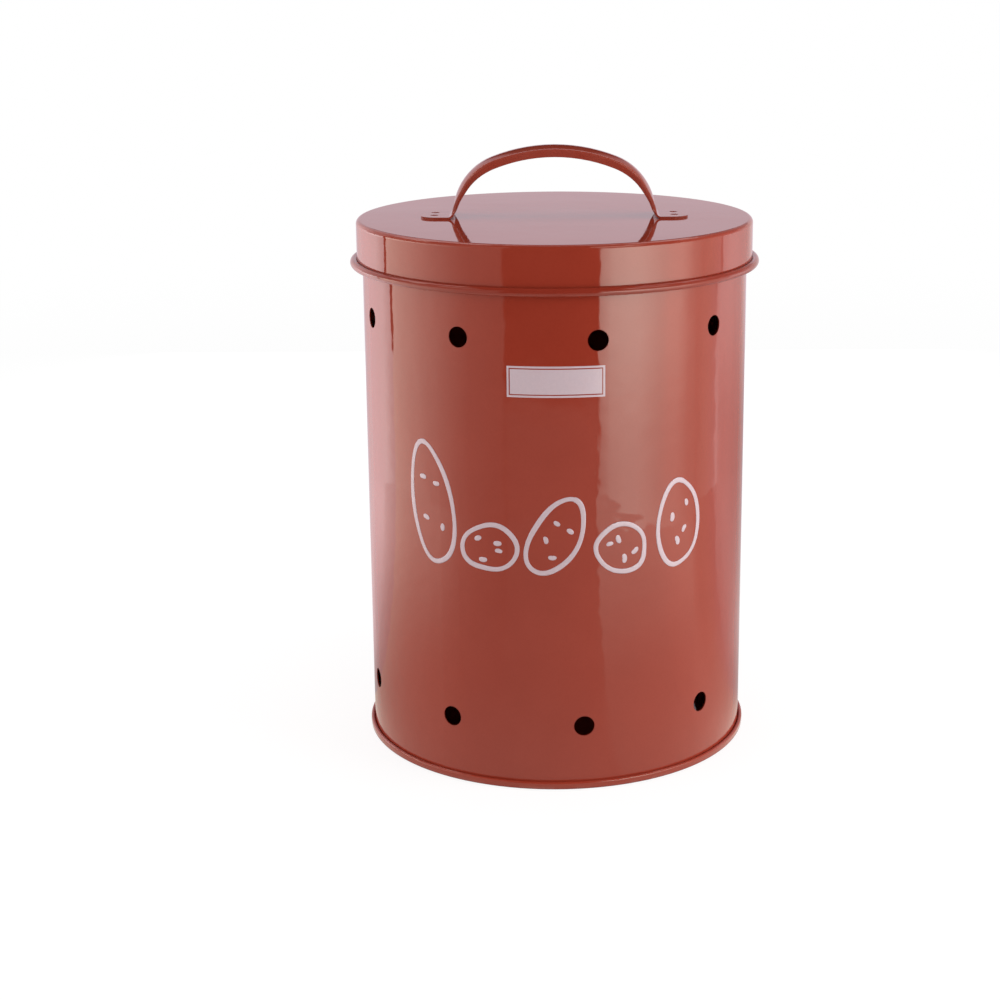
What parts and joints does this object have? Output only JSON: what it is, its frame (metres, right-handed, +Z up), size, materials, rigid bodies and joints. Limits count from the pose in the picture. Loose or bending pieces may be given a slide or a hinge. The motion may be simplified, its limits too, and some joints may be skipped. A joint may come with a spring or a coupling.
{
  "type": "storage bin",
  "caption": "Vented cylindrical vegetable storage bin of coated sheet metal, with a lift-off cap lid and a strap handle on top.",
  "frame": {"origin": "on the floor, at the middle of the round base", "axes": "+Z up along the bin's axis; -Y towards the front, the side that carries the decoration; +X to the right seen from the front, along the handle"},
  "size_m": [0.2068, 0.2068, 0.3049],
  "materials": {
    "coat": "gloss powder coat on sheet steel"
  },
  "bodies": {
    "bin": {"body_wall": "coat", "base_plate": "coat"},
    "lid": {"lid_shell": "coat", "lid_handle": "coat"}
  },
  "joints": [
    {"name": "lid_lift", "type": "slide", "parent": "bin", "child": "lid", "axis": [0, 0, 1], "range_m": [0, 0.22]}
  ]
}
